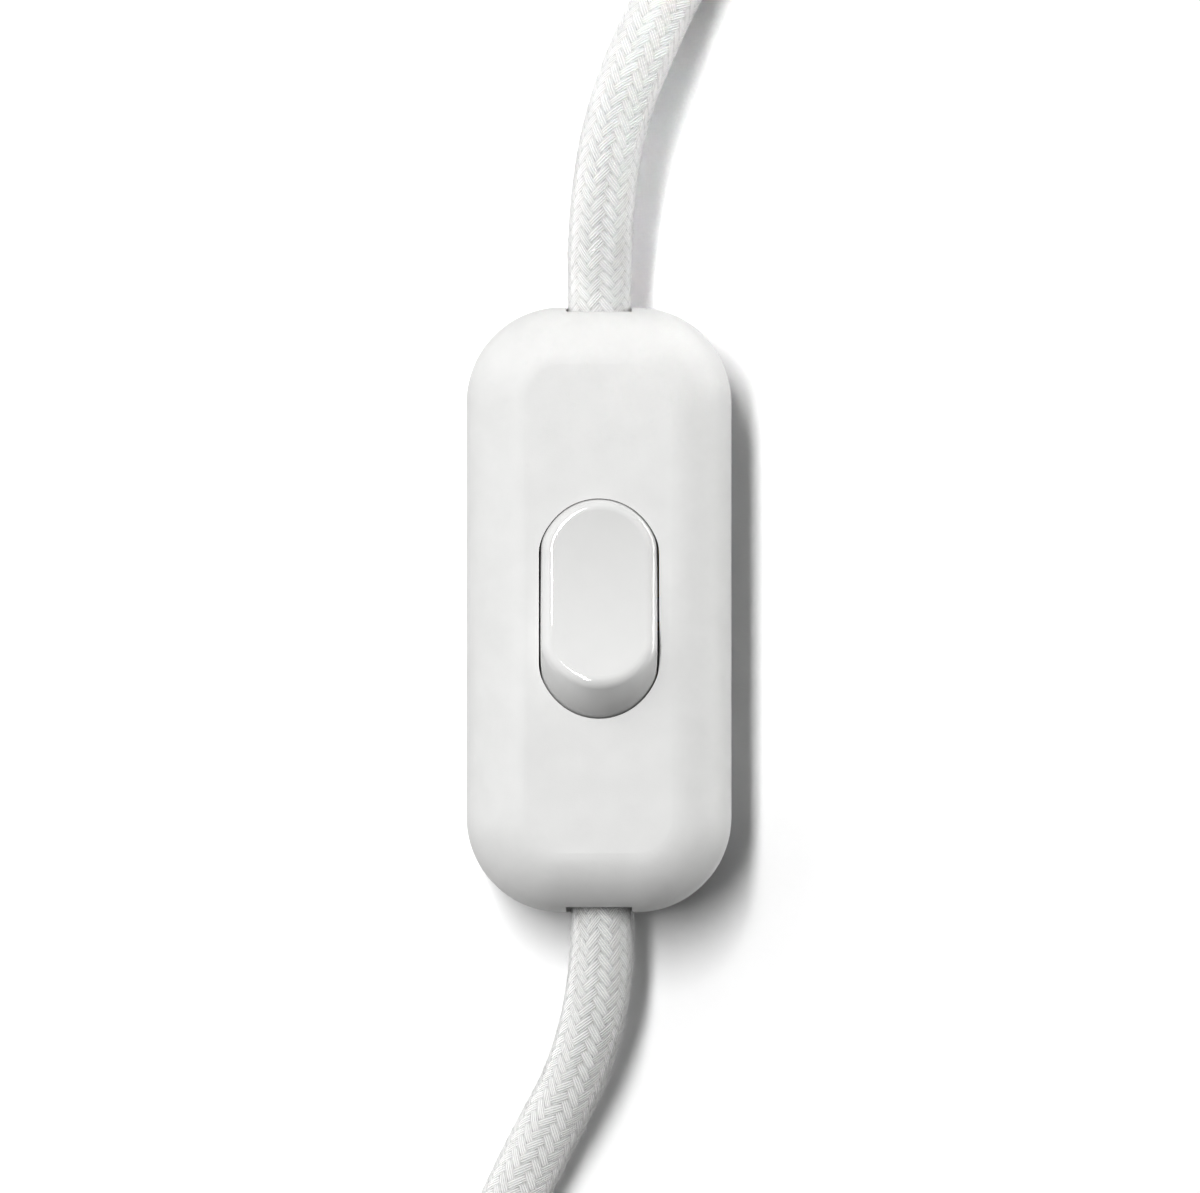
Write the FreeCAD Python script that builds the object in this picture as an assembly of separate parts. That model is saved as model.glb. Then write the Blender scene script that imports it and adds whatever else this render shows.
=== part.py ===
import FreeCAD, Part
import math
import os

# Inline rocker switch on a round textile lamp cord, millimetres.
# Origin: middle of the switch's flat underside. +Z is up (the rocker's side),
# +Y is the lamp side of the cord, -Y the plug side.

V = FreeCAD.Vector

# ---------------------------------------------------------------- dimensions
BODY_W, BODY_L, BODY_H = 26.7, 61.0, 18.0
CORNER_R = 9.6            # plan corner radius
TOP_R, BOTTOM_R = 6.0, 2.0  # edge roundings of the cover and of the base
SPLIT_Z = 10.0            # joint plane between base and cover, also cord centre
WALL, SKIN = 1.8, 2.0     # side walls; floor and top

CORD_D = 6.5
CORD_Z = 10.0
PORT_R = 3.38             # cord hole in each end wall
NOTCH_X, NOTCH_Z = 3.3, 14.5  # the cover's half of it is a notch with a flat top
SHEATH_END = 22.6         # the braid is cut back to here inside the housing

PIVOT_Z = 13.0            # rocker axis
TILT = 12.0               # rest tilt: lamp end of the rocker is down
TORUS_R0 = 5.66           # rocker and window are rings turned about the axis
ROCKER_X, ROCKER_R = 5.86, 6.34
WINDOW_X, WINDOW_R = 6.02, 6.46
BEND_R = 3.0              # plan rounding between the window's end arc and its sides
DISH_R = 44.2             # hollow of the rocker's face
DISH_Z = 6.62             # its lowest point above the axis
ROCKER_WALL = 1.2
TRUNNION_R, BEARING_R = 1.25, 1.30

LEVER_Z = 6.7             # underside of the contact lever, its tilting line
LEVER_TILT = 6.0

TERM_X, TERM_Y0, TERM_Y1 = 7.5, 9.8, 15.2
TERM_Z0, TERM_Z1, WIRE_Z = 3.0, 8.5, 5.5

BOSS_X, BOSS_Y, BOSS_R = 8.5, 23.2, 2.2

LAMP_R, LAMP_NEAR, LAMP_FAR = 20.5, 68.0, 165.0      # lamp side hank
PLUG_R, PLUG_NEAR, PLUG_FAR = 21.0, 65.0, 223.0      # plug side hank
LAMP_END_Y = 116.0        # where the braid ends on the lamp side hank

PLUG_Z = 6.85             # plug axis, the plug lies flat in its hank
PLUG_W, PLUG_T = 35.0, 13.7
PLUG_FRONT, PLUG_BACK, RELIEF_BACK = -95.5, -131.5, -150.0
PIN_X, PIN_R, PIN_LEN = 9.3, 2.0, 19.0

LAMP_ROUTE = [
    (0.0, 22.6, 10.0), (0.0, 30.6, 10.0), (0.1, 39.6, 11.8), (1.4, 49.0, 13.0),
    (4.9, 58.0, 11.0), (9.3, 66.9, 5.8), (15.0, 75.2, 3.45), (19.4, 84.2, 3.3),
]
PLUG_ROUTE = [
    (0.0, -22.6, 10.0), (0.1, -30.6, 10.0), (0.1, -38.4, 8.9), (-1.9, -46.4, 6.4),
    (-6.0, -54.2, 4.8), (-9.9, -62.2, 4.0), (-14.6, -70.6, 3.4), (-19.0, -79.2, 3.3),
]
TAIL_ROUTE = [
    (21.0, -204.1, 16.25), (21.0, -192.9, 16.25), (15.4, -183.1, 15.6),
    (7.6, -174.0, 12.6), (2.2, -164.6, 9.2), (0.0, -155.0, 7.2), (0.0, -146.0, 6.85),
]

parts = {}


# ------------------------------------------------------------------- helpers
def box(x0, x1, y0, y1, z0, z1):
    return Part.makeBox(x1 - x0, y1 - y0, z1 - z0, V(x0, y0, z0))


def rod(r, p, q):
    a, b = V(*p), V(*q)
    return Part.makeCylinder(r, (b - a).Length, a, b - a)


def fuse(first, *rest):
    out = first
    for s in rest:
        out = out.fuse(s)
    return out.removeSplitter()


def only_solid(shape):
    solids = shape.Solids
    if len(solids) != 1:
        raise RuntimeError("expected one solid, got %d" % len(solids))
    return solids[0]


def slab(w, l, r, z0, z1):
    """Rectangle w by l with corner radius r, from z0 to z1."""
    b = box(-w / 2, w / 2, -l / 2, l / 2, z0, z1)
    upright = [
        e for e in b.Edges
        if abs(e.Vertexes[0].Point.z - e.Vertexes[-1].Point.z) > 1e-6
    ]
    return b.makeFillet(r, upright)


def round_rim(solid, z, r):
    rim = [
        e for e in solid.Edges
        if all(abs(v.Point.z - z) < 1e-6 for v in e.Vertexes)
    ]
    return solid.makeFillet(r, rim)


def ring_about_axis(half_x, rr):
    """Solid turned about the rocker's axis. Its profile is a flat side, a small
    tangent arc, the end arc of radius rr round TORUS_R0, and the same back."""
    bend = BEND_R - (WINDOW_X - half_x)
    cx = half_x - bend
    cz = PIVOT_Z + TORUS_R0 + math.sqrt((rr - bend) ** 2 - cx ** 2)
    turn = math.atan2(cx, cz - PIVOT_Z - TORUS_R0)   # where the small arc meets the big one
    mid = (turn + math.pi / 2) / 2
    px, pz = rr * math.sin(turn), PIVOT_Z + TORUS_R0 + rr * math.cos(turn)
    qx, qz = cx + bend * math.sin(mid), cz + bend * math.cos(mid)
    wire = Part.Wire([
        Part.LineSegment(V(-half_x, 0, PIVOT_Z), V(-half_x, 0, cz)).toShape(),
        Part.Arc(V(-half_x, 0, cz), V(-qx, 0, qz), V(-px, 0, pz)).toShape(),
        Part.Arc(V(-px, 0, pz), V(0, 0, PIVOT_Z + TORUS_R0 + rr), V(px, 0, pz)).toShape(),
        Part.Arc(V(px, 0, pz), V(qx, 0, qz), V(half_x, 0, cz)).toShape(),
        Part.LineSegment(V(half_x, 0, cz), V(half_x, 0, PIVOT_Z)).toShape(),
        Part.LineSegment(V(half_x, 0, PIVOT_Z), V(-half_x, 0, PIVOT_Z)).toShape(),
    ])
    return Part.Face(wire).revolve(V(0, 0, PIVOT_Z), V(1, 0, 0), 360)


def tilted(shape, deg, z):
    out = shape.copy()
    out.rotate(V(0, 0, z), V(1, 0, 0), deg)
    return out


def tube(route, radius, name):
    """Straight runs joined by tangent arcs, a circle swept along them."""
    pts = [V(*p) for p in route]
    edges, at, radii, length = [], pts[0], [], 0.0
    for i in range(1, len(pts) - 1):
        u, w = pts[i] - pts[i - 1], pts[i + 1] - pts[i]
        lu, lw = u.Length, w.Length
        u.normalize()
        w.normalize()
        turn = u.getAngle(w)
        if turn < 1e-4:
            continue
        cut = 0.45 * min(lu, lw)
        r = cut / math.tan(turn / 2)
        s, e = pts[i] - u * cut, pts[i] + w * cut
        inward = w - u
        inward.normalize()
        centre = pts[i] + inward * (r / math.cos(turn / 2))
        mid = centre - inward * r
        edges.append(Part.LineSegment(at, s).toShape())
        edges.append(Part.Arc(s, mid, e).toShape())
        length += (s - at).Length + r * turn
        radii.append(r)
        at = e
    edges.append(Part.LineSegment(at, pts[-1]).toShape())
    length += (pts[-1] - at).Length
    spine = Part.Wire(edges)
    start = pts[1] - pts[0]
    profile = Part.Wire([Part.makeCircle(radius, pts[0], start)])
    solid = only_solid(spine.makePipeShell([profile], True, False))
    if solid.Volume < 0:
        solid.reverse()
    share = solid.Volume / (math.pi * radius * radius * length)
    print("%-22s length %7.1f  volume ratio %.4f  radii %s" % (
        name, length, share, " ".join("%.1f" % r for r in radii)))
    return solid


def racetrack(r, near, far, z0, z1, sign):
    """Obround of end radius r between |y| = near and far, on the side of sign."""
    c0, c1 = sign * (near + r), sign * (far - r)
    out = fuse(
        Part.makeCylinder(r, z1 - z0, V(0, c0, z0)),
        Part.makeCylinder(r, z1 - z0, V(0, c1, z0)),
        box(-r, r, min(c0, c1), max(c0, c1), z0, z1),
    )
    return out


def slotted_head(x, y, z0, z1, r, width, deep):
    head = Part.makeCylinder(r, z1 - z0, V(x, y, z0))
    top = [e for e in head.Edges if all(abs(v.Point.z - z1) < 1e-6 for v in e.Vertexes)
           and len(e.Vertexes) == 1]
    head = head.makeChamfer(0.15, top)
    return head.cut(box(x - r - 1, x + r + 1, y - width / 2, y + width / 2, z1 - deep, z1 + 1))


# ------------------------------------------------------------------- housing
outer = slab(BODY_W, BODY_L, CORNER_R, 0, BODY_H)
outer = round_rim(outer, BODY_H, TOP_R)
outer = round_rim(outer, 0.0, BOTTOM_R)
hollow = slab(BODY_W - 2 * WALL, BODY_L - 2 * WALL, CORNER_R - WALL, SKIN, BODY_H - SKIN)
hollow = round_rim(hollow, BODY_H - SKIN, TOP_R - WALL)
hollow = round_rim(hollow, SKIN, 0.8)
ports = fuse(
    rod(PORT_R, (0, 26, CORD_Z), (0, 36, CORD_Z)),
    rod(PORT_R, (0, -26, CORD_Z), (0, -36, CORD_Z)),
)
notches = box(-NOTCH_X, NOTCH_X, 27.6, 36, CORD_Z + 0.5, NOTCH_Z).fuse(
    box(-NOTCH_X, NOTCH_X, -36, -27.6, CORD_Z + 0.5, NOTCH_Z))

shell = outer.cut(hollow)
upper = shell.common(box(-20, 20, -40, 40, SPLIT_Z, 30))
lower = shell.common(box(-20, 20, -40, 40, -5, SPLIT_Z))

# shadow line round the joint
joint_line = slab(BODY_W + 2, BODY_L + 2, CORNER_R + 1, SPLIT_Z - 0.15, SPLIT_Z + 0.15).cut(
    slab(BODY_W - 0.4, BODY_L - 0.4, CORNER_R - 0.2, SPLIT_Z - 1, SPLIT_Z + 1))

# cover: bearing lugs for the rocker, screw bosses, locating pins
lugs = []
for s in (1, -1):
    x0, x1 = sorted((s * 6.4, s * 8.4))
    lug = box(x0, x1, -2.6, 2.6, 11.2, 16.4)
    lug = lug.cut(rod(BEARING_R, (s * 6.0, 0, PIVOT_Z), (s * 9.0, 0, PIVOT_Z)))
    lug = lug.cut(box(min(x0, x1) - 1, max(x0, x1) + 1, -1.15, 1.15, 10.0, PIVOT_Z))
    lugs.append(lug)
bosses = [Part.makeCylinder(BOSS_R, 7.5, V(sx * BOSS_X, sy * BOSS_Y, SPLIT_Z)).common(outer)
          for sx in (1, -1) for sy in (1, -1)]
cover = fuse(upper, *(lugs + bosses))
for sx, sy in ((1, 1), (-1, -1)):
    cover = cover.cut(Part.makeCylinder(1.02, 5.0, V(sx * BOSS_X, sy * BOSS_Y, SPLIT_Z)))
for sx, sy in ((-1, 1), (1, -1)):
    cover = cover.fuse(Part.makeCylinder(1.2, 4.0, V(sx * BOSS_X, sy * BOSS_Y, SPLIT_Z - 3.5)))
cover = cover.cut(ring_about_axis(WINDOW_X, WINDOW_R)).cut(ports).cut(notches).cut(joint_line)
parts["top_cover"] = only_solid(cover.removeSplitter())

# base: tongue inside the cover's wall, bosses, saddles for the cord, supports
tongue = slab(BODY_W - 2 * WALL + 0.2, BODY_L - 2 * WALL + 0.2, CORNER_R - WALL, 8.6, SPLIT_Z).fuse(
    slab(BODY_W - 2 * WALL - 0.2, BODY_L - 2 * WALL - 0.2, CORNER_R - WALL - 0.1, SPLIT_Z - 0.2, 11.2))
tongue = tongue.cut(slab(BODY_W - 2 * WALL - 1.8, BODY_L - 2 * WALL - 1.8, CORNER_R - WALL - 0.9, 8.0, 12.0))
for sx in (1, -1):
    for sy in (1, -1):
        tongue = tongue.cut(Part.makeCylinder(BOSS_R + 0.3, 4.0, V(sx * BOSS_X, sy * BOSS_Y, SPLIT_Z)))
adds = [tongue]
for sx in (1, -1):
    for sy in (1, -1):
        adds.append(Part.makeCylinder(BOSS_R, SPLIT_Z - 1.9, V(sx * BOSS_X, sy * BOSS_Y, 1.9)))
        y0, y1 = sorted((sy * 10.2, sy * 14.8))
        x0, x1 = sorted((sx * 5.4, sx * 9.6))
        adds.append(box(x0, x1, y0, y1, 1.9, TERM_Z0))       # pads under the terminals
        x0, x1 = sorted((sx * 10.1, sx * 11.7))
        adds.append(box(x0, x1, y0 + 0.8, y1 - 0.8, 1.9, 6.5))  # ribs beside them
for s in (1, -1):
    y0, y1 = sorted((s * 23.0, s * 27.4))
    saddle = box(-6.1, 6.1, y0, y1, 1.9, 10.3)
    for x in (-4.95, 4.95):
        saddle = saddle.cut(Part.makeCylinder(0.92, 6.5, V(x, s * 25.3, 4.0)))
    adds.append(saddle)
adds.append(box(-3.2, 3.2, -1.6, 1.6, 1.9, 4.0))             # under the fulcrum
pillar = box(-1.9, 1.9, -9.8, -6.5, 1.9, 3.75)
adds.append(pillar.cut(Part.makeCylinder(1.0, 2.0, V(0, -8.0, 3.0))))
base = fuse(lower, *adds)
for s in (1, -1):
    base = base.cut(rod(3.3, (0, s * 22.0, CORD_Z), (0, s * 28.6, CORD_Z)))
for sx, sy in ((1, 1), (-1, -1)):
    base = base.cut(Part.makeCylinder(1.15, 12.0, V(sx * BOSS_X, sy * BOSS_Y, -1)))
    base = base.cut(Part.makeCylinder(2.3, 2.5, V(sx * BOSS_X, sy * BOSS_Y, -1)))
for sx, sy in ((-1, 1), (1, -1)):
    base = base.cut(Part.makeCylinder(1.3, 4.2, V(sx * BOSS_X, sy * BOSS_Y, 6.2)))
base = base.cut(ports).cut(joint_line)
parts["base_shell"] = only_solid(base.removeSplitter())

screws = []
for sx, sy in ((1, 1), (-1, -1)):
    x, y = sx * BOSS_X, sy * BOSS_Y
    head = Part.makeCylinder(2.1, 1.2, V(x, y, 0.3))
    rim = [e for e in head.Edges if len(e.Vertexes) == 1 and abs(e.Vertexes[0].Point.z - 0.3) < 1e-6]
    head = head.makeFillet(0.45, rim)
    head = head.cut(box(x - 0.3, x + 0.3, y - 1.2, y + 1.2, 0, 1.0))
    head = head.cut(box(x - 1.2, x + 1.2, y - 0.3, y + 0.3, 0, 1.0))
    screws.append(head.fuse(Part.makeCylinder(1.0, 13.3, V(x, y, 1.5))).removeSplitter())
parts["housing_screws"] = Part.makeCompound([only_solid(s) for s in screws])

# -------------------------------------------------------------------- rocker
dish = rod(DISH_R, (-20, 0, PIVOT_Z + DISH_Z + DISH_R), (20, 0, PIVOT_Z + DISH_Z + DISH_R))
inner_dish = rod(DISH_R + 1.4, (-20, 0, PIVOT_Z + DISH_Z + DISH_R), (20, 0, PIVOT_Z + DISH_Z + DISH_R))
cap = ring_about_axis(ROCKER_X, ROCKER_R)
cap = cap.common(box(-10, 10, -20, 20, PIVOT_Z + 0.2, PIVOT_Z + 14)).cut(dish)
cap = only_solid(cap)
top_face = [f for f in cap.Faces
            if isinstance(f.Surface, Part.Cylinder) and abs(f.Surface.Radius - DISH_R) < 1e-3][0]
cap = cap.makeFillet(1.2, top_face.Edges)
cap = only_solid(cap)
inside = ring_about_axis(ROCKER_X - ROCKER_WALL, ROCKER_R - ROCKER_WALL)
inside = inside.common(box(-10, 10, -20, 20, PIVOT_Z - 3, PIVOT_Z + 14)).cut(inner_dish)
rocker = cap.cut(inside)
adds = []
for s in (1, -1):
    x0, x1 = sorted((s * 4.6, s * ROCKER_X))
    adds.append(box(x0, x1, -3.0, 3.0, PIVOT_Z - 2.0, PIVOT_Z + 1.0))
    adds.append(rod(TRUNNION_R, (s * 5.0, 0, PIVOT_Z), (s * 8.0, 0, PIVOT_Z)))
adds.append(box(-4.8, 4.8, -0.6, 0.6, PIVOT_Z + 0.4, PIVOT_Z + 5.9))
adds.append(Part.makeCylinder(2.4, 8.0, V(0, 0, PIVOT_Z - 2.0)))
rocker = fuse(rocker, *adds)
rocker = rocker.cut(Part.makeCylinder(1.45, 7.1, V(0, 0, PIVOT_Z - 2.1)))
parts["rocker"] = only_solid(tilted(rocker, -TILT, PIVOT_Z))

plunger = Part.makeCylinder(1.35, 7.25, V(0, 0, PIVOT_Z - 5.65))
tip = [e for e in plunger.Edges if len(e.Vertexes) == 1 and abs(e.Vertexes[0].Point.z - (PIVOT_Z - 5.65)) < 1e-6]
plunger = plunger.makeFillet(1.1, tip)
plunger = plunger.fuse(Part.makeCylinder(0.7, 1.4, V(0, 0, PIVOT_Z + 1.2)))
parts["plunger"] = only_solid(tilted(plunger.removeSplitter(), -TILT, PIVOT_Z))

turn_points = 12
spring_route = []
for i in range(5 * turn_points + 1):
    a = 2 * math.pi * i / turn_points
    spring_route.append((1.1 * math.cos(a), 1.1 * math.sin(a), PIVOT_Z + 1.75 + 0.62 * i / turn_points))
spring = tube(spring_route, 0.14, "plunger_spring")
parts["plunger_spring"] = only_solid(tilted(spring, -TILT, PIVOT_Z))

# ------------------------------------------------------------ contact system
lever = slab(5.0, 18.8, 1.2, LEVER_Z, LEVER_Z + 0.6)
lever = lever.cut(Part.makeCylinder(0.72, 2.0, V(0, -8.0, LEVER_Z - 0.5)))
parts["contact_lever"] = only_solid(tilted(lever, LEVER_TILT, LEVER_Z))
rivet = fuse(
    Part.makeCylinder(1.3, 0.6, V(0, -8.0, LEVER_Z - 0.6)),
    Part.makeCylinder(0.7, 0.6, V(0, -8.0, LEVER_Z)),
    Part.makeCylinder(1.05, 0.35, V(0, -8.0, LEVER_Z + 0.6)),
)
parts["lever_contact_rivet"] = only_solid(tilted(rivet, LEVER_TILT, LEVER_Z))


def terminal_block(sx, sy):
    y0, y1 = sorted((sy * TERM_Y0, sy * TERM_Y1))
    x = sx * TERM_X
    b = box(x - 2.5, x + 2.5, y0, y1, TERM_Z0, TERM_Z1)
    b = b.makeChamfer(0.3, [e for e in b.Edges if all(abs(v.Point.z - TERM_Z1) < 1e-6 for v in e.Vertexes)])
    b = b.cut(rod(1.1, (x, y0 - 1, WIRE_Z), (x, y1 + 1, WIRE_Z)))
    return b.cut(Part.makeCylinder(1.02, 4.0, V(x, (y0 + y1) / 2, WIRE_Z)))


live = fuse(
    terminal_block(1, 1),
    box(5.2, 8.2, -2.0, 10.2, 4.0 - 0.6, 4.0),
    box(-3.4, 8.2, -2.0, 2.0, 4.0, 4.6),
    box(5.2, 8.2, -2.0, 2.0, 3.4, 4.6),
    box(-3.4, -2.8, -1.5, 1.5, 4.4, 8.0),
    box(2.8, 3.4, -1.5, 1.5, 4.4, 8.0),
    box(-2.9, 2.9, -0.5, 0.5, 4.4, 6.12),
    rod(0.5, (-2.9, 0, 6.12), (2.9, 0, 6.12)),
)
live = live.cut(rod(1.1, (TERM_X, TERM_Y0 - 1, WIRE_Z), (TERM_X, TERM_Y1 + 1, WIRE_Z)))
parts["lamp_live_terminal"] = only_solid(live)

arm = fuse(
    terminal_block(1, -1),
    box(-2.0, 8.2, -10.4, -6.4, 3.75, 4.35),
)
arm = arm.cut(rod(1.1, (TERM_X, -TERM_Y0 + 1, WIRE_Z), (TERM_X, -TERM_Y1 - 1, WIRE_Z)))
arm = arm.cut(Part.makeCylinder(0.82, 2.0, V(0, -8.0, 3.0)))
parts["plug_live_terminal"] = only_solid(arm)
parts["fixed_contact_rivet"] = only_solid(fuse(
    Part.makeCylinder(1.5, 0.5, V(0, -8.0, 4.35)),
    Part.makeCylinder(0.8, 0.95, V(0, -8.0, 3.4)),
))
neutral = fuse(
    terminal_block(-1, 1),
    terminal_block(-1, -1),
    box(-8.5, -6.5, -10.3, 10.3, 3.2, 4.1),
)
parts["neutral_terminal"] = only_solid(neutral)

tscrews = []
for sx in (1, -1):
    for sy in (1, -1):
        x, y = sx * TERM_X, sy * (TERM_Y0 + TERM_Y1) / 2
        h = slotted_head(x, y, TERM_Z1, TERM_Z1 + 1.3, 1.7, 0.5, 0.6)
        tscrews.append(only_solid(h.fuse(Part.makeCylinder(1.0, TERM_Z1 - 6.2, V(x, y, 6.2))).removeSplitter()))
parts["terminal_screws"] = Part.makeCompound(tscrews)

# ---------------------------------------------------------------- cord grips
gscrews = []
for s, name in ((1, "lamp_cord_grip"), (-1, "plug_cord_grip")):
    y0, y1 = sorted((s * 23.6, s * 27.0))
    grip = fuse(
        rod(4.3, (0, y0, CORD_Z), (0, y1, CORD_Z)).common(box(-8, 8, y0, y1, 10.6, 16)),
        box(-6.1, 6.1, y0, y1, 10.6, 12.0),
    )
    grip = grip.cut(rod(3.28, (0, y0 - 1, CORD_Z), (0, y1 + 1, CORD_Z)))
    for x in (-4.95, 4.95):
        grip = grip.cut(Part.makeCylinder(0.95, 3.0, V(x, s * 25.3, 10.0)))
        h = slotted_head(x, s * 25.3, 12.0, 13.0, 1.1, 0.4, 0.45)
        gscrews.append(only_solid(h.fuse(Part.makeCylinder(0.88, 6.5, V(x, s * 25.3, 5.5))).removeSplitter()))
    parts[name] = only_solid(grip)
parts["cord_grip_screws"] = Part.makeCompound(gscrews)

# ----------------------------------------------------- cores inside the body
strands = []
for sy, side in ((1, "lamp"), (-1, "plug")):
    for sx, kind in ((1, "live"), (-1, "neutral")):
        route = [(sx * x, sy * y, z) for x, y, z in (
            (1.4, 22.6, 10.0), (1.9, 20.9, 9.7), (4.4, 19.0, 7.9), (6.9, 17.6, 6.0), (7.5, 15.3, 5.5))]
        name = side + "_" + kind + "_core"
        parts[name] = tube(route, 1.1, name)
        strands.append(rod(0.66, (sx * 7.5, sy * 15.3, 5.48), (sx * 7.5, sy * 10.2, 5.48)))
parts["core_strands"] = Part.makeCompound([only_solid(s) for s in strands])

# --------------------------------------------------------- cords and hanks
parts["lamp_cord"] = tube(LAMP_ROUTE, CORD_D / 2, "lamp_cord")
parts["plug_cord"] = tube(PLUG_ROUTE, CORD_D / 2, "plug_cord")
parts["plug_tail"] = tube(TAIL_ROUTE, CORD_D / 2, "plug_tail")

h = CORD_D / 2
hank = racetrack(LAMP_R + h, LAMP_NEAR, LAMP_FAR, 0, 2 * CORD_D, 1).cut(
    racetrack(LAMP_R - h, LAMP_NEAR + CORD_D, LAMP_FAR - CORD_D, -1, 30, 1))
# the second layer stops where the braid ends, and the cores lie on the first
hank = hank.cut(box(-30, -15, 83.5, LAMP_END_Y, CORD_D + 0.1, 30))
parts["lamp_hank"] = only_solid(hank.removeSplitter())
hank = racetrack(PLUG_R + h, PLUG_NEAR, PLUG_FAR, 0, 3 * CORD_D, -1).cut(
    racetrack(PLUG_R - h, PLUG_NEAR + CORD_D, PLUG_FAR - CORD_D, -1, 30, -1))
# two layers on the side where the cord leaves for the plug
hank = hank.cut(box(15, 30, -198.5, -60, 2 * CORD_D, 30))
parts["plug_hank"] = only_solid(hank.removeSplitter())


def tie(x, y, z0, z1, width=4.0):
    """Flat tie pulled tight round one bundle, its twisted ends laid along the top."""
    def loop(g, w):
        b = box(x - 3.25 - g, x + 3.25 + g, y - w / 2, y + w / 2, z0 - g, z1 + g)
        along = [e for e in b.Edges if abs(e.Vertexes[0].Point.y - e.Vertexes[-1].Point.y) > 1e-6]
        return b.makeFillet(2.4, along)
    band = loop(0.1, width).cut(loop(-0.4, width + 2))
    tail = rod(0.8, (x, y - 1.0, z1 + 0.75), (x, y + 11.0, z1 + 0.75))
    return only_solid(band.fuse(tail).removeSplitter())


parts["lamp_hank_ties"] = Part.makeCompound([
    tie(-LAMP_R, 128.0, 0.15, 13.0), tie(LAMP_R, 104.0, 0.15, 13.0)])
parts["plug_hank_ties"] = Part.makeCompound([
    tie(-PLUG_R, -150.0, 0.15, 19.5), tie(PLUG_R, -122.0, 0.15, 13.0)])

# bare lamp end: two cores with crimped sleeves
END_LIVE = [(-19.3, 116.0, 9.3), (-19.0, 110.5, 8.6), (-18.3, 103.5, 8.0), (-18.1, 96.5, 8.0)]
END_NEUTRAL = [(-21.7, 116.0, 9.3), (-22.1, 110.8, 8.5), (-22.4, 105.0, 7.9), (-21.9, 99.0, 7.9)]
parts["lamp_end_live_core"] = tube(END_LIVE, 1.1, "lamp_end_live_core")
parts["lamp_end_neutral_core"] = tube(END_NEUTRAL, 1.1, "lamp_end_neutral_core")
sleeves = []
for route in (END_LIVE, END_NEUTRAL):
    a, b = V(*route[-2]), V(*route[-1])
    d = b - a
    d.normalize()
    collar = Part.makeCone(1.3, 1.1, 2.6, b, d)
    sleeves.append(only_solid(collar.fuse(Part.makeCylinder(0.62, 6.0, b + d * 2.6, d)).removeSplitter()))
parts["ferrules"] = Part.makeCompound(sleeves)

# ---------------------------------------------------------------------- plug
def rounded_section(w, t, r, y):
    """Closed outline w by t with corner radius r, across the plug at y."""
    x, z, k = w / 2, t / 2, math.sqrt(0.5)
    edges, c = [], [(1, 1), (-1, 1), (-1, -1), (1, -1)]
    p = lambda a, b: V(a, y, PLUG_Z + b)
    for i, (sx, sz) in enumerate(c):
        cx, cz = sx * (x - r), sz * (z - r)
        ends = [p(cx + sx * r, cz), p(cx, cz + sz * r)]
        mid = p(cx + sx * r * k, cz + sz * r * k)
        if i % 2:
            ends.reverse()
        edges.append(Part.Arc(ends[0], mid, ends[1]).toShape())
        nx, nz = c[(i + 1) % 4]
        if i % 2 == 0:
            nxt = p(nx * (x - r), nz * z)
        else:
            nxt = p(nx * x, nz * (z - r))
        edges.append(Part.LineSegment(ends[1], nxt).toShape())
    return Part.Wire(edges)


front_half = only_solid(Part.makeLoft([
    rounded_section(PLUG_W - 1.2, PLUG_T - 1.2, 5.6, PLUG_FRONT),
    rounded_section(PLUG_W, PLUG_T, 6.2, PLUG_FRONT - 0.7)], True, True))
middle = only_solid(Part.makeLoft([
    rounded_section(PLUG_W, PLUG_T, 6.2, PLUG_FRONT - 0.7),
    rounded_section(PLUG_W, PLUG_T, 6.2, -107.5)], True, True))
back_half = only_solid(Part.makeLoft([
    rounded_section(PLUG_W, PLUG_T, 6.2, -107.5),
    rounded_section(33.0, PLUG_T - 0.1, 6.2, -111.0),
    rounded_section(27.4, PLUG_T - 0.5, 6.0, -116.5),
    rounded_section(19.6, PLUG_T - 1.4, 5.7, -123.5),
    rounded_section(14.2, PLUG_T - 2.4, 5.2, -129.0),
    rounded_section(12.0, 10.8, 5.0, PLUG_BACK)], True, False))
body = fuse(front_half, middle, back_half)
relief = Part.makeCone(5.3, 4.0, PLUG_BACK + 1.0 - RELIEF_BACK, V(0, PLUG_BACK + 1.0, PLUG_Z), V(0, -1, 0))
for k in range(4):
    y = PLUG_BACK - 3.6 - 3.4 * k
    groove = rod(7.0, (0, y, PLUG_Z), (0, y - 1.3, PLUG_Z)).cut(rod(3.75, (0, y + 1, PLUG_Z), (0, y - 3, PLUG_Z)))
    spine = box(-0.9, 0.9, y - 2, y + 1, 0, 20) if k % 2 else box(-8, 8, y - 2, y + 1, PLUG_Z - 0.9, PLUG_Z + 0.9)
    relief = relief.cut(groove.cut(spine))
body = fuse(body, relief)
body = body.cut(rod(3.25, (0, RELIEF_BACK - 1, PLUG_Z), (0, -146.0, PLUG_Z)))
pins, sleeves = [], []
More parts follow.
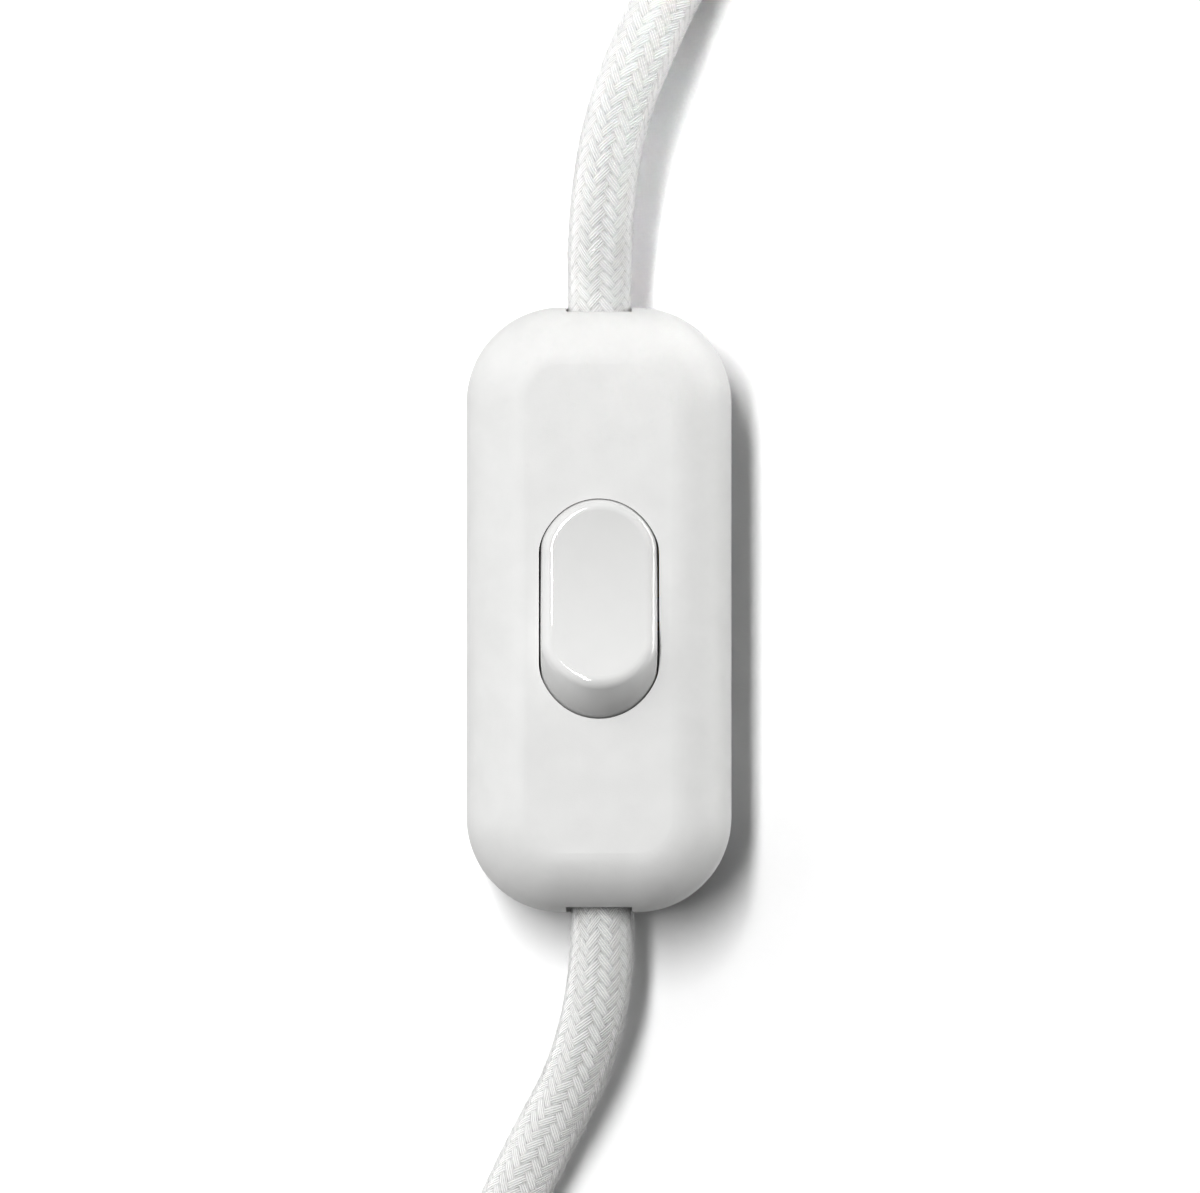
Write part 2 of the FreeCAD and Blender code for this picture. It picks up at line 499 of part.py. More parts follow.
for s in (1, -1):
    x = s * PIN_X
    body = body.cut(rod(1.5, (x, PLUG_FRONT - 4, PLUG_Z), (x, PLUG_FRONT + 1, PLUG_Z)))
    shank = rod(1.5, (x, PLUG_FRONT - 4, PLUG_Z), (x, PLUG_FRONT + 10, PLUG_Z))
    end = rod(PIN_R, (x, PLUG_FRONT + 10, PLUG_Z), (x, PLUG_FRONT + PIN_LEN, PLUG_Z))
    nose = [e for e in end.Edges if len(e.Vertexes) == 1
            and abs(e.Vertexes[0].Point.y - (PLUG_FRONT + PIN_LEN)) < 1e-6]
    end = end.makeFillet(1.5, nose)
    pins.append(only_solid(shank.fuse(end).removeSplitter()))
    sleeves.append(only_solid(
        rod(1.9, (x, PLUG_FRONT, PLUG_Z), (x, PLUG_FRONT + 10, PLUG_Z)).cut(
            rod(1.5, (x, PLUG_FRONT - 1, PLUG_Z), (x, PLUG_FRONT + 11, PLUG_Z)))))
parts["plug_body"] = only_solid(body)
parts["plug_pins"] = Part.makeCompound(pins)
parts["plug_pin_sleeves"] = Part.makeCompound(sleeves)

os.makedirs("parts", exist_ok=True)
for name, shape in parts.items():
    if not shape.isValid():
        print("INVALID", name)
    shape.exportStep("parts/%s.step" % name)
    bb = shape.optimalBoundingBox(False)
    print("%-24s %8.1f mm3  x %7.2f %7.2f  y %7.2f %7.2f  z %6.2f %6.2f" % (
        name, shape.Volume, bb.XMin, bb.XMax, bb.YMin, bb.YMax, bb.ZMin, bb.ZMax))
print("%d nodes" % len(parts))
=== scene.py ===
import math
import random

import bpy
import numpy as np
from mathutils import Matrix, Vector


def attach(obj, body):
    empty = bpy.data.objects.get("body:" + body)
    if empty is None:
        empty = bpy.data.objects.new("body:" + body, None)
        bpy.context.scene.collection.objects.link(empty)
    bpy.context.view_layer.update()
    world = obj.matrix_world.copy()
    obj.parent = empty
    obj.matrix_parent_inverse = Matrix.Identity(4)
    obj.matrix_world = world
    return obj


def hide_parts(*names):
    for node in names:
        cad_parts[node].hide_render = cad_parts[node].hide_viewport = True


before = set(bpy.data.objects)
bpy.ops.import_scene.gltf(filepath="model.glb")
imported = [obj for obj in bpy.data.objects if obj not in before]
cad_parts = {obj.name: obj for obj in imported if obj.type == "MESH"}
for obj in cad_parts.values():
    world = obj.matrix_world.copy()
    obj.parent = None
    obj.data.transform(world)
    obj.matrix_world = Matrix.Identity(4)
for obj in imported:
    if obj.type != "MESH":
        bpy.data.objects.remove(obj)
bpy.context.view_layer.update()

scene = bpy.context.scene
MM = 0.001

# ------------------------------------------------------------------ camera
# Down on the switch, one degree off the vertical, long lens: 9.9 pixels per
# millimetre at the height where the housing is widest.
cam_data = bpy.data.cameras.new("camera")
cam = bpy.data.objects.new("camera", cam_data)
scene.collection.objects.link(cam)
scene.camera = cam
cam.location = (0.0001, 0.00136 - 0.018, 1.010)
cam.rotation_euler = (math.atan(0.018), 0.0, 0.0)
cam_data.sensor_width = 36.0
cam_data.lens = 297.0
cam_data.clip_start, cam_data.clip_end = 0.05, 20.0

# ------------------------------------------------------------- cord routes
# The tube's own route points, then the turns of each hank.
CORD_R = 3.25
LAMP_ROUTE = [
    (0.0, 22.6, 10.0), (0.0, 30.6, 10.0), (0.1, 39.6, 11.8), (1.4, 49.0, 13.0),
    (4.9, 58.0, 11.0), (9.3, 66.9, 5.8), (15.0, 75.2, 3.45), (19.4, 84.2, 3.3),
    # first turn: right side, far fold, left side
    (20.5, 97.0, 3.25), (20.6, 112.0, 3.25), (20.4, 125.0, 3.25), (20.5, 135.76, 3.25),
    (20.5, 146.74, 3.25), (15.0, 156.26, 3.25), (5.49, 161.75, 3.25),
    (-5.49, 161.75, 3.25), (-15.0, 156.26, 3.25), (-20.5, 146.74, 3.25),
    (-20.5, 135.76, 3.25), (-20.6, 124.0, 3.25), (-20.4, 110.0, 3.25), (-20.5, 97.24, 3.3),
    # near fold climbs over the strand that comes in
    (-20.5, 86.26, 4.3), (-15.0, 76.74, 6.8), (-5.49, 71.25, 9.1),
    (5.49, 71.25, 9.9), (15.0, 76.74, 9.8), (20.5, 86.26, 9.75),
    # second turn as far as the bare end
    (20.5, 97.24, 9.75), (20.4, 110.0, 9.75), (20.6, 124.0, 9.75), (20.5, 135.76, 9.75),
    (20.5, 146.74, 9.75), (15.0, 156.26, 9.75), (5.49, 161.75, 9.75),
    (-5.49, 161.75, 9.75), (-15.0, 156.26, 9.75), (-20.5, 146.74, 9.75),
    (-20.5, 135.76, 9.75), (-20.6, 126.0, 9.75), (-20.5, 116.0, 9.65),
]
PLUG_ROUTE = [
    (0.0, -22.6, 10.0), (0.3, -30.8, 10.0), (0.1, -38.4, 8.9), (-1.9, -46.4, 6.4),
    (-6.0, -54.2, 4.8), (-9.9, -62.2, 4.0), (-14.6, -70.6, 3.4), (-19.0, -79.2, 3.3),
    # first turn: left side, far fold, right side
    (-21.0, -91.0, 3.25), (-21.2, -108.0, 3.25), (-20.9, -128.0, 3.25), (-21.1, -150.0, 3.25),
    (-20.9, -174.0, 3.25), (-21.0, -193.12, 3.25),
    (-21.0, -204.38, 3.25), (-15.37, -214.12, 3.25), (-5.63, -219.75, 3.25),
    (5.63, -219.75, 3.25), (15.37, -214.12, 3.25), (21.0, -204.38, 3.25),
    (21.0, -193.12, 3.25), (21.2, -174.0, 3.25), (20.9, -150.0, 3.25), (21.1, -128.0, 3.25),
    (20.9, -108.0, 3.25), (21.0, -94.88, 3.3),
    # near fold climbs over the strand that comes in
    (21.0, -83.62, 4.3), (15.37, -73.88, 6.8), (5.63, -68.25, 9.1),
    (-5.63, -68.25, 9.9), (-15.37, -73.88, 9.8), (-21.0, -83.62, 9.75),
    # second turn
    (-21.0, -94.88, 9.75), (-20.9, -108.0, 9.75), (-21.2, -128.0, 9.75), (-20.9, -150.0, 9.75),
    (-21.1, -174.0, 9.75), (-21.0, -193.12, 9.75),
    (-21.0, -204.38, 9.75), (-15.37, -214.12, 9.75), (-5.63, -219.75, 9.75),
    (5.63, -219.75, 9.75), (15.37, -214.12, 9.75), (21.0, -204.38, 9.75),
    (21.0, -193.12, 9.75), (20.9, -174.0, 9.75), (21.1, -150.0, 9.75), (20.9, -128.0, 9.75),
    (21.1, -108.0, 9.75), (21.0, -94.88, 9.8),
    (21.0, -83.62, 10.8), (15.37, -73.88, 13.3), (5.63, -68.25, 15.5),
    (-5.63, -68.25, 16.2), (-15.37, -73.88, 16.25), (-21.0, -83.62, 16.25),
    # third layer, then down into the hollow to the plug
    (-21.0, -94.88, 16.25), (-21.1, -108.0, 16.25), (-20.9, -128.0, 16.25), (-21.1, -150.0, 16.25),
    (-20.9, -174.0, 16.25), (-21.0, -193.12, 16.25),
    (-21.0, -204.38, 16.25), (-15.37, -214.12, 16.25), (-5.63, -219.75, 16.25),
    (5.63, -219.75, 16.25), (15.37, -214.12, 16.25),
    (21.0, -204.1, 16.25), (21.0, -192.9, 16.25), (15.4, -183.1, 15.6),
    (7.6, -174.0, 12.6), (2.2, -164.6, 9.2), (0.0, -155.0, 7.2), (0.0, -146.0, 6.85),
]


def spline_line(name, route):
    """Points of the smooth line that the route's points control, in metres."""
    data = bpy.data.curves.new(name, "CURVE")
    data.dimensions = "3D"
    data.resolution_u = 48
    spline = data.splines.new("NURBS")
    spline.points.add(len(route) - 1)
    for point, (x, y, z) in zip(spline.points, route):
        point.co = (x * MM, y * MM, z * MM, 1.0)
    spline.order_u = 3
    spline.use_endpoint_u = True
    spline.resolution_u = 48
    holder = bpy.data.objects.new(name, data)
    scene.collection.objects.link(holder)
    mesh = bpy.data.meshes.new_from_object(holder)
    line = np.array([v.co[:] for v in mesh.vertices], float)
    bpy.data.objects.remove(holder)
    bpy.data.meshes.remove(mesh)
    bpy.data.curves.remove(data)
    keep = np.r_[True, np.linalg.norm(np.diff(line, axis=0), axis=1) > 1e-7]
    return line[keep]


class Line:
    """A line with its length, and an even, untwisted frame along it."""

    def __init__(self, points, first=(1.0, 0.0, 0.0)):
        self.p = points
        step = np.linalg.norm(np.diff(points, axis=0), axis=1)
        self.s = np.r_[0.0, np.cumsum(step)]
        self.length = self.s[-1]
        t = np.gradient(points, self.s, axis=0)
        t /= np.linalg.norm(t, axis=1)[:, None]
        n = np.zeros_like(t)
        v = np.array(first, float)
        for k in range(len(t)):
            v = v - t[k] * v.dot(t[k])
            v /= np.linalg.norm(v)
            n[k] = v
        self.t, self.n, self.b = t, n, np.cross(t, n)

    def at(self, s):
        out = []
        for field in (self.p, self.t, self.n, self.b):
            out.append(np.stack([np.interp(s, self.s, field[:, k]) for k in range(3)], axis=-1))
        for k in (1, 2, 3):
            out[k] /= np.linalg.norm(out[k], axis=-1, keepdims=True)
        return out

    def s_at_y(self, y):
        """Length along the line where it first passes that y, in metres."""
        sign = 1.0 if y > 0 else -1.0
        return float(self.s[int(np.argmax(self.p[:, 1] * sign >= y * sign))])


# -------------------------------------------------------------- the braid
# Sixteen ribbons wind each way. Each passes over two and under two, and the
# floats line up in columns of chevrons along the cord.
RIBBONS = 16
PITCH = 1.42 * MM        # along the cord, from one ribbon to the next
THREADS = 4


def braid_wobble(u, v):
    return (0.055 * np.sin(2 * math.pi * u * 2 / RIBBONS + 0.61 * v)
            + 0.045 * np.sin(2 * math.pi * u * 3 / RIBBONS - 1.13 * v + 1.3))


def braid_height(u, v):
    """Height of the plait in millimetres; u counts ribbons round, v along."""
    w = braid_wobble(u, v)
    a, b = u - v + w, u + v - w * 0.6
    i, j = np.floor(a + 0.5), np.floor(b + 0.5)
    da, db = np.abs(a - i) * 2, np.abs(b - j) * 2
    ha = 0.05 * np.cos(math.pi / 2 * (i + b - 0.5)) + 0.075 * (1 - 0.3 * da ** 2 - 0.6 * da ** 6)
    hb = -0.05 * np.cos(math.pi / 2 * (a + j - 0.5)) + 0.075 * (1 - 0.3 * db ** 2 - 0.6 * db ** 6)
    return np.maximum(ha, hb)


def rings_for(line, fine0, fine1, fine, coarse):
    """(length along the line, sides) of each ring; sides halve at the ends of the fine stretch."""
    rings = []
    s = 0.0
    while s < fine0 - 2.2 * coarse:
        rings.append((s, 32))
        s += coarse
    rings += [(s, 32), (fine0 - coarse * 0.6, 64)]
    n = max(1, int(round((fine1 - fine0) / fine)))
    rings += [(fine0 + (fine1 - fine0) * k / n, 128) for k in range(n + 1)]
    rings.append((fine1 + coarse * 0.6, 64))
    s = fine1 + coarse * 1.4
    m = max(1, int(math.ceil((line.length - s) / coarse)))
    rings += [(s + (line.length - s) * k / m, 32) for k in range(m + 1)]
    return rings


def cord_mesh(name, line, fine0, fine1, turn=0.0, squeezed=(), nipped=0.0):
    """The cord as one closed tube. Its plait stands out of the surface on the fine stretch."""
    rings = rings_for(line, fine0, fine1, 0.1 * MM, 1.25 * MM)
    pos = np.array([r[0] for r in rings])
    p, t, n, b = line.at(pos)
    fade = 3.0 * MM
    relief = np.clip((pos - fine0) / fade, 0, 1) * np.clip((fine1 - pos) / fade, 0, 1)
    relief = relief * relief * (3 - 2 * relief)
    # a tie draws the bundle in
    pinch = np.zeros(len(pos))
    for tie_x, tie_y in squeezed:
        near = np.exp(-(((p[:, 1] - tie_y) / (2.6 * MM)) ** 2)) * (p[:, 0] * tie_x > 0) * (np.abs(p[:, 0]) > 18 * MM)
        pinch = np.maximum(pinch, near)
    verts, first, masks = [], [], []
    for k, (s, sides) in enumerate(rings):
        ang = np.arange(sides) / sides
        theta = 2 * math.pi * ang + turn
        h = braid_height(ang * RIBBONS, np.full(sides, s / PITCH)) * MM
        radius = CORD_R * MM - 0.035 * MM + relief[k] * (h - 0.075 * MM)
        # soft unevenness of a textile cord, a few hundredths of a millimetre
        radius = radius + 0.03 * MM * math.sin(s / MM * 0.37 + 1.1) + 0.02 * MM * np.sin(2 * theta + s / MM * 0.21)
        radius = radius * (1 - 0.065 * pinch[k])
        # drawn in where the end wall holds it
        radius = radius * (1 - nipped * math.exp(-(max(0.0, abs(p[k, 1]) - 0.0306) / (4.0 * MM)) ** 2))
        ring =p[k] + radius[:, None] * (np.cos(theta)[:, None] * n[k] + np.sin(theta)[:, None] * b[k])
        first.append(len(verts))
        verts.extend(ring.tolist())
        masks.extend([1.0 - relief[k]] * sides)
    faces, uvs = [], []

    def add(*corners):
        faces.append([first[r] + c % rings[r][1] for r, c in corners])
        for r, c in corners:
            uvs.append((c / rings[r][1], pos[r] / PITCH / 100.0))

    for r in range(len(rings) - 1):
        na, nb = rings[r][1], rings[r + 1][1]
        if na == nb:
            for c in range(na):
                add((r, c), (r, c + 1), (r + 1, c + 1), (r + 1, c))
        elif na < nb:
            for c in range(na):
                add((r, c), (r + 1, 2 * c + 1), (r + 1, 2 * c))
                add((r, c), (r, c + 1), (r + 1, 2 * c + 1))
                add((r, c + 1), (r + 1, 2 * c + 2), (r + 1, 2 * c + 1))
        else:
            for c in range(nb):
                add((r, 2 * c), (r, 2 * c + 1), (r + 1, c))
                add((r, 2 * c + 1), (r + 1, c + 1), (r + 1, c))
                add((r, 2 * c + 1), (r, 2 * c + 2), (r + 1, c + 1))
    # cut ends
    for r, flip in ((0, True), (len(rings) - 1, False)):
        sides = rings[r][1]
        mid = len(verts)
        verts.append((p[r] + t[r] * (-0.25 * MM if flip else 0.25 * MM)).tolist())
        masks.append(1.0)
        for c in range(sides):
            f = [first[r] + c, first[r] + (c + 1) % sides, mid]
            uv = [(c / sides, pos[r] / PITCH / 100), ((c + 1) / sides, pos[r] / PITCH / 100), (c / sides, pos[r] / PITCH / 100)]
            if flip:
                f.reverse()
                uv.reverse()
            faces.append(f)
            uvs.extend(uv)
    mesh = bpy.data.meshes.new(name)
    mesh.from_pydata(verts, [], faces)
    mesh.validate()
    layer = mesh.uv_layers.new(name="plait")
    layer.uv.foreach_set("vector", np.array(uvs, np.float32).ravel())
    mask = mesh.attributes.new("plain", "FLOAT", "POINT")
    mask.data.foreach_set("value", np.array(masks, np.float32))
    mesh.polygons.foreach_set("use_smooth", [True] * len(mesh.polygons))
    mesh.update()
    obj = bpy.data.objects.new(name, mesh)
    scene.collection.objects.link(obj)
    return obj


LAMP_TIES = [(-20.5, 128.0, 3.25, 9.75), (20.5, 104.0, 3.25, 9.75)]
PLUG_TIES = [(-21.0, -150.0, 3.25, 16.25), (21.0, -122.0, 3.25, 9.75)]

lamp_line = Line(spline_line("lamp_route", LAMP_ROUTE))
plug_line = Line(spline_line("plug_route", PLUG_ROUTE))
lamp_cord = cord_mesh(
    "lamp_textile_cord", lamp_line, lamp_line.s_at_y(29.4 * MM), lamp_line.s_at_y(67.0 * MM),
    turn=-0.24, squeezed=[(x * MM, y * MM) for x, y, *_ in LAMP_TIES])
plug_cord = cord_mesh(
    "plug_textile_cord", plug_line, plug_line.s_at_y(-29.4 * MM), plug_line.s_at_y(-66.0 * MM),
    turn=0.167, squeezed=[(x * MM, y * MM) for x, y, *_ in PLUG_TIES], nipped=0.06)
print("cord lengths", round(lamp_line.length, 4), round(plug_line.length, 4))


# --------------------------------------------------------------- materials
def new_material(name):
    mat = bpy.data.materials.new(name)
    mat.use_nodes = True
    tree = mat.node_tree
    return mat, tree, tree.nodes["Principled BSDF"]


class Nodes:
    """Short names for the nodes that the patterns are made of."""

    def __init__(self, tree):
        self.tree = tree

    def new(self, kind, **values):
        node = self.tree.nodes.new(kind)
        for key, value in values.items():
            setattr(node, key, value)
        return node

    def link(self, a, b):
        self.tree.links.new(a, b)

    def math(self, op, *args):
        node = self.new("ShaderNodeMath", operation=op)
        for k, a in enumerate(args):
            if isinstance(a, (int, float)):
                node.inputs[k].default_value = a
            else:
                self.link(a, node.inputs[k])
        return node.outputs[0]

    def object_place(self):
        return self.new("ShaderNodeTexCoord").outputs["Object"]

    def noise(self, scale, detail=3.0, rough=0.55, place=None, dims="3D"):
        node = self.new("ShaderNodeTexNoise", noise_dimensions=dims)
        node.inputs["Scale"].default_value = scale
        node.inputs["Detail"].default_value = detail
        node.inputs["Roughness"].default_value = rough
        self.link(place or self.object_place(), node.inputs["Vector"])
        return node.outputs["Fac"]

    def ramp(self, fac, stops):
        node = self.new("ShaderNodeValToRGB")
        ramp = node.color_ramp
        while len(ramp.elements) < len(stops):
            ramp.elements.new(0.5)
        for e, (at, colour) in zip(ramp.elements, stops):
            e.position = at
            e.color = (*colour, 1.0)
        self.link(fac, node.inputs["Fac"])
        return node.outputs["Color"]

    def spread(self, fac, low, high):
        node = self.new("ShaderNodeMapRange")
        node.inputs["To Min"].default_value = low
        node.inputs["To Max"].default_value = high
        self.link(fac, node.inputs["Value"])
        return node.outputs["Result"]

    def bump(self, height, distance, strength=1.0, normal=None):
        node = self.new("ShaderNodeBump")
        node.inputs["Strength"].default_value = strength
        node.inputs["Distance"].default_value = distance
        self.link(height, node.inputs["Height"])
        if normal is not None:
            self.link(normal, node.inputs["Normal"])
        return node.outputs["Normal"]


def moulded(name, colour, rough, grain=7000.0, depth=0.000006, vary=0.012, coat=0.0, mottle=320.0):
    """Moulded plastic: fine spark-eroded grain, faint cloudiness in tone and gloss."""
    mat, tree, shader = new_material(name)
    n = Nodes(tree)
    cloud = n.noise(mottle, 4.0)
    low = [max(0.0, c * (1 - vary * 2)) for c in colour]
    high = [min(1.0, c * (1 + vary * 2)) for c in colour]
    n.link(n.ramp(cloud, [(0.25, low), (0.75, high)]), shader.inputs["Base Color"])
    fine = n.noise(grain, 2.0)
    n.link(n.spread(n.noise(mottle * 4, 3.0), rough * 0.88, rough * 1.12), shader.inputs["Roughness"])
    wide = n.noise(170.0, 2.0)
    first = n.bump(wide, 0.00002, 0.35)
    n.link(n.bump(fine, depth, 1.0, first), shader.inputs["Normal"])
    shader.inputs["IOR"].default_value = 1.49
    if coat:
        shader.inputs["Coat Weight"].default_value = coat
        shader.inputs["Coat Roughness"].default_value = 0.08
    return mat


def metal(name, colour, rough, brush=(1.0, 1.0, 1.0), scratch=2600.0, depth=0.000004, thread=None, tarnish=None):
    """Metal with fine drawing lines, clouded tarnish and, on screws, the turns of the thread."""
    mat, tree, shader = new_material(name)
    n = Nodes(tree)
    shader.inputs["Metallic"].default_value = 1.0
    place = n.new("ShaderNodeMapping")
    place.inputs["Scale"].default_value = brush
    n.link(n.object_place(), place.inputs["Vector"])
    lines = n.noise(scratch, 3.0, place=place.outputs["Vector"])
    cloud = n.noise(500.0, 4.0)
    dark = tarnish or [c * 0.78 for c in colour]
    n.link(n.ramp(cloud, [(0.3, dark), (0.62, colour)]), shader.inputs["Base Color"])
    n.link(n.spread(cloud, rough + 0.1, rough - 0.05), shader.inputs["Roughness"])
    normal = n.bump(lines, depth, 0.7)
    if thread:
        axis, pitch = thread
        wave = n.new("ShaderNodeTexWave", wave_type="BANDS", bands_direction=axis, wave_profile="TRI")
        wave.inputs["Scale"].default_value = 0.314159 / pitch
        n.link(n.object_place(), wave.inputs["Vector"])
        normal = n.bump(wave.outputs["Fac"], 0.00012, 0.8, normal)
    n.link(normal, shader.inputs["Normal"])
    return mat


def braid_material(name):
    """Plaited textile: ribbons of four threads, with painted shade where they dive under and between the threads, fine
    fibres on top.
    """
    mat, tree, shader = new_material(name)
    n = Nodes(tree)
    uv = n.new("ShaderNodeUVMap", uv_map="plait").outputs["UV"]
    split = n.new("ShaderNodeSeparateXYZ")
    n.link(uv, split.inputs[0])
    u = n.math("MULTIPLY", split.outputs["X"], float(RIBBONS))
    v = n.math("MULTIPLY", split.outputs["Y"], 100.0)
    w1 = n.math("SINE", n.math("ADD", n.math("MULTIPLY", u, 2 * math.pi * 2 / RIBBONS), n.math("MULTIPLY", v, 0.61)))
    w2 = n.math("SINE", n.math("ADD", n.math("SUBTRACT", n.math("MULTIPLY", u, 2 * math.pi * 3 / RIBBONS), n.math("MULTIPLY", v, 1.13)), 1.3))
    w = n.math("ADD", n.math("MULTIPLY", w1, 0.055), n.math("MULTIPLY", w2, 0.045))
    a = n.math("ADD", n.math("SUBTRACT", u, v), w)
    b = n.math("SUBTRACT", n.math("ADD", u, v), n.math("MULTIPLY", w, 0.6))
    i = n.math("FLOOR", n.math("ADD", a, 0.5))
    j = n.math("FLOOR", n.math("ADD", b, 0.5))
    da = n.math("SUBTRACT", a, i)
    db = n.math("SUBTRACT", b, j)

    def ribbon(d, phase, sign):
        d2 = n.math("MULTIPLY", n.math("ABSOLUTE", d), 2.0)
        crown = n.math("SUBTRACT", n.math("SUBTRACT", 1.0, n.math("MULTIPLY", n.math("POWER", d2, 2.0), 0.3)),
                       n.math("MULTIPLY", n.math("POWER", d2, 6.0), 0.6))
        wave = n.math("COSINE", n.math("MULTIPLY", n.math("SUBTRACT", phase, 0.5), math.pi / 2))
        return n.math("ADD", n.math("MULTIPLY", wave, 0.05 * sign), n.math("MULTIPLY", crown, 0.075))

    ha = ribbon(da, n.math("ADD", i, b), 1.0)
    hb = ribbon(db, n.math("ADD", a, j), -1.0)
    height = n.math("MAXIMUM", ha, hb)
    a_top = n.math("GREATER_THAN", ha, hb)
    b_top = n.math("SUBTRACT", 1.0, a_top)
    across = n.math("ADD", n.math("MULTIPLY", da, a_top), n.math("MULTIPLY", db, b_top))
    threads = n.math("ABSOLUTE", n.math("COSINE", n.math("MULTIPLY", across, math.pi * THREADS)))
    # each ribbon keeps its own slight tone all the way round
    ia = n.math("FLOORED_MODULO", i, float(RIBBONS))
    jb = n.math("ADD", n.math("FLOORED_MODULO", j, float(RIBBONS)), 40.0)
    which = n.math("ADD", n.math("MULTIPLY", ia, a_top), n.math("MULTIPLY", jb, b_top))
    own = n.new("ShaderNodeTexWhiteNoise", noise_dimensions="1D")
    n.link(which, own.inputs["W"])
    place = n.object_place()
    fibre = n.noise(16000.0, 3.0, 0.65, place)
    patch = n.noise(420.0, 4.0, 0.6, place)
    # tone: painted shade, grey down in the gaps where ribbons dive under, crowns white
    gap_shade = n.spread(height, 0.0, 1.0)
    gap_shade_node = gap_shade.node
    gap_shade_node.inputs["From Min"].default_value = 0.02
    gap_shade_node.inputs["From Max"].default_value = 0.085
    # painted shade between the threads, stronger in some places than in others
    groove_shade_amount = n.spread(n.noise(1100.0, 2.0, 0.6, place), 0.0, 0.42)
    groove_shade = n.math("SUBTRACT", 1.0, n.math("MULTIPLY", n.math("SUBTRACT", 1.0, threads), groove_shade_amount))
    # the tone carries both painted shades, in the gaps and between the threads
    tone = n.math("MULTIPLY", n.spread(gap_shade, 0.70, 1.0), groove_shade)
    tone = n.math("MULTIPLY", tone, n.spread(own.outputs["Value"], 0.965, 1.0))
    tone = n.math("MULTIPLY", tone, n.spread(fibre, 0.90, 1.07))
    tone = n.math("MULTIPLY", tone, n.spread(patch, 0.95, 1.05))
    mix = n.new("ShaderNodeMix", data_type="RGBA", blend_type="MULTIPLY")
    mix.inputs["Factor"].default_value = 1.0
    mix.inputs["A"].default_value = (0.80, 0.80, 0.795, 1.0)
    grey = n.new("ShaderNodeCombineColor")
    for k in range(3):
        n.link(tone, grey.inputs[k])
    n.link(grey.outputs[0], mix.inputs["B"])
    n.link(mix.outputs["Result"], shader.inputs["Base Color"])
    n.link(n.spread(fibre, 0.72, 0.9), shader.inputs["Roughness"])
    # the far stretches have the plait as bump only
    plain = n.new("ShaderNodeAttribute", attribute_name="plain").outputs["Fac"]
    plait = n.math("MULTIPLY", height, plain)
    first = n.bump(plait, 0.001, 1.0)
    second = n.bump(threads, 0.00009, 1.0, first)
    n.link(n.bump(fibre, 0.00004, 0.7, second), shader.inputs["Normal"])
    shader.inputs["Sheen Weight"].default_value = 0.55
    shader.inputs["Sheen Roughness"].default_value = 0.6
    shader.inputs["Specular IOR Level"].default_value = 0.2
    if "Diffuse Roughness" in shader.inputs:
        shader.inputs["Diffuse Roughness"].default_value = 1.0
    return mat


WHITE = (0.645, 0.645, 0.64)
cover_mat = moulded("cover_plastic", WHITE, 0.52)
base_mat = moulded("base_plastic", (0.64, 0.64, 0.635), 0.55)
rocker_mat = moulded("rocker_plastic", (0.64, 0.64, 0.635), 0.07, grain=2500.0, depth=0.0000006, vary=0.005)
nylon_mat = moulded("natural_nylon", (0.66, 0.62, 0.50), 0.45, vary=0.03)
plug_mat = moulded("plug_plastic", (0.68, 0.68, 0.675), 0.48, grain=5200.0, depth=0.00001, vary=0.015)
tie_mat = moulded("tie_plastic", (0.70, 0.70, 0.70), 0.35, grain=3000.0, depth=0.000004)
sleeve_mat = moulded("pin_sleeve_plastic", (0.03, 0.03, 0.032), 0.4, vary=0.1)
brown_mat = moulded("brown_insulation", (0.13, 0.055, 0.022), 0.35, vary=0.06, grain=3500.0)
blue_mat = moulded("blue_insulation", (0.03, 0.12, 0.48), 0.35, vary=0.05, grain=3500.0)
brass_mat = metal("brass_strip", (0.80, 0.58, 0.27), 0.28, brush=(1.0, 0.08, 1.0), tarnish=(0.58, 0.38, 0.15))
block_mat = metal("brass_block", (0.78, 0.57, 0.28), 0.33, brush=(0.2, 1.0, 1.0), tarnish=(0.56, 0.38, 0.17))
silver_mat = metal("silver_contact", (0.90, 0.89, 0.86), 0.3, tarnish=(0.7, 0.68, 0.63))
steel_mat = metal("zinc_steel", (0.62, 0.63, 0.65), 0.3, thread=("Z", 0.0008))
spring_mat = metal("spring_steel", (0.56, 0.56, 0.58), 0.25)
copper_mat = metal("copper_strand", (0.82, 0.42, 0.25), 0.32, thread=("DIAGONAL", 0.0009), tarnish=(0.55, 0.25, 0.13))
nickel_mat = metal("nickel_pin", (0.74, 0.71, 0.65), 0.17, brush=(1.0, 0.05, 1.0), tarnish=(0.62, 0.59, 0.53))
tin_mat = metal("tinned_sleeve", (0.70, 0.70, 0.69), 0.3, tarnish=(0.55, 0.55, 0.54))
braid_mat = braid_material("textile_braid")

FINISH = {
    "top_cover": cover_mat, "base_shell": base_mat, "rocker": rocker_mat,
    "housing_screws": steel_mat, "terminal_screws": steel_mat, "cord_grip_screws": steel_mat,
    "plunger": nylon_mat, "lamp_cord_grip": nylon_mat, "plug_cord_grip": nylon_mat,
    "plunger_spring": spring_mat, "contact_lever": brass_mat, "plug_live_terminal": brass_mat,
    "lamp_live_terminal": brass_mat, "neutral_terminal": block_mat,
    "lever_contact_rivet": silver_mat, "fixed_contact_rivet": silver_mat,
    "lamp_live_core": brown_mat, "plug_live_core": brown_mat, "lamp_end_live_core": brown_mat,
    "lamp_neutral_core": blue_mat, "plug_neutral_core": blue_mat, "lamp_end_neutral_core": blue_mat,
    "core_strands": copper_mat, "ferrules": tin_mat,
    "plug_body": plug_mat, "plug_pins": nickel_mat, "plug_pin_sleeves": sleeve_mat,
}
for node, mat in FINISH.items():
    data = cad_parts[node].data
    if data.materials:
        for k in range(len(data.materials)):
            data.materials[k] = mat
    else:
        data.materials.append(mat)


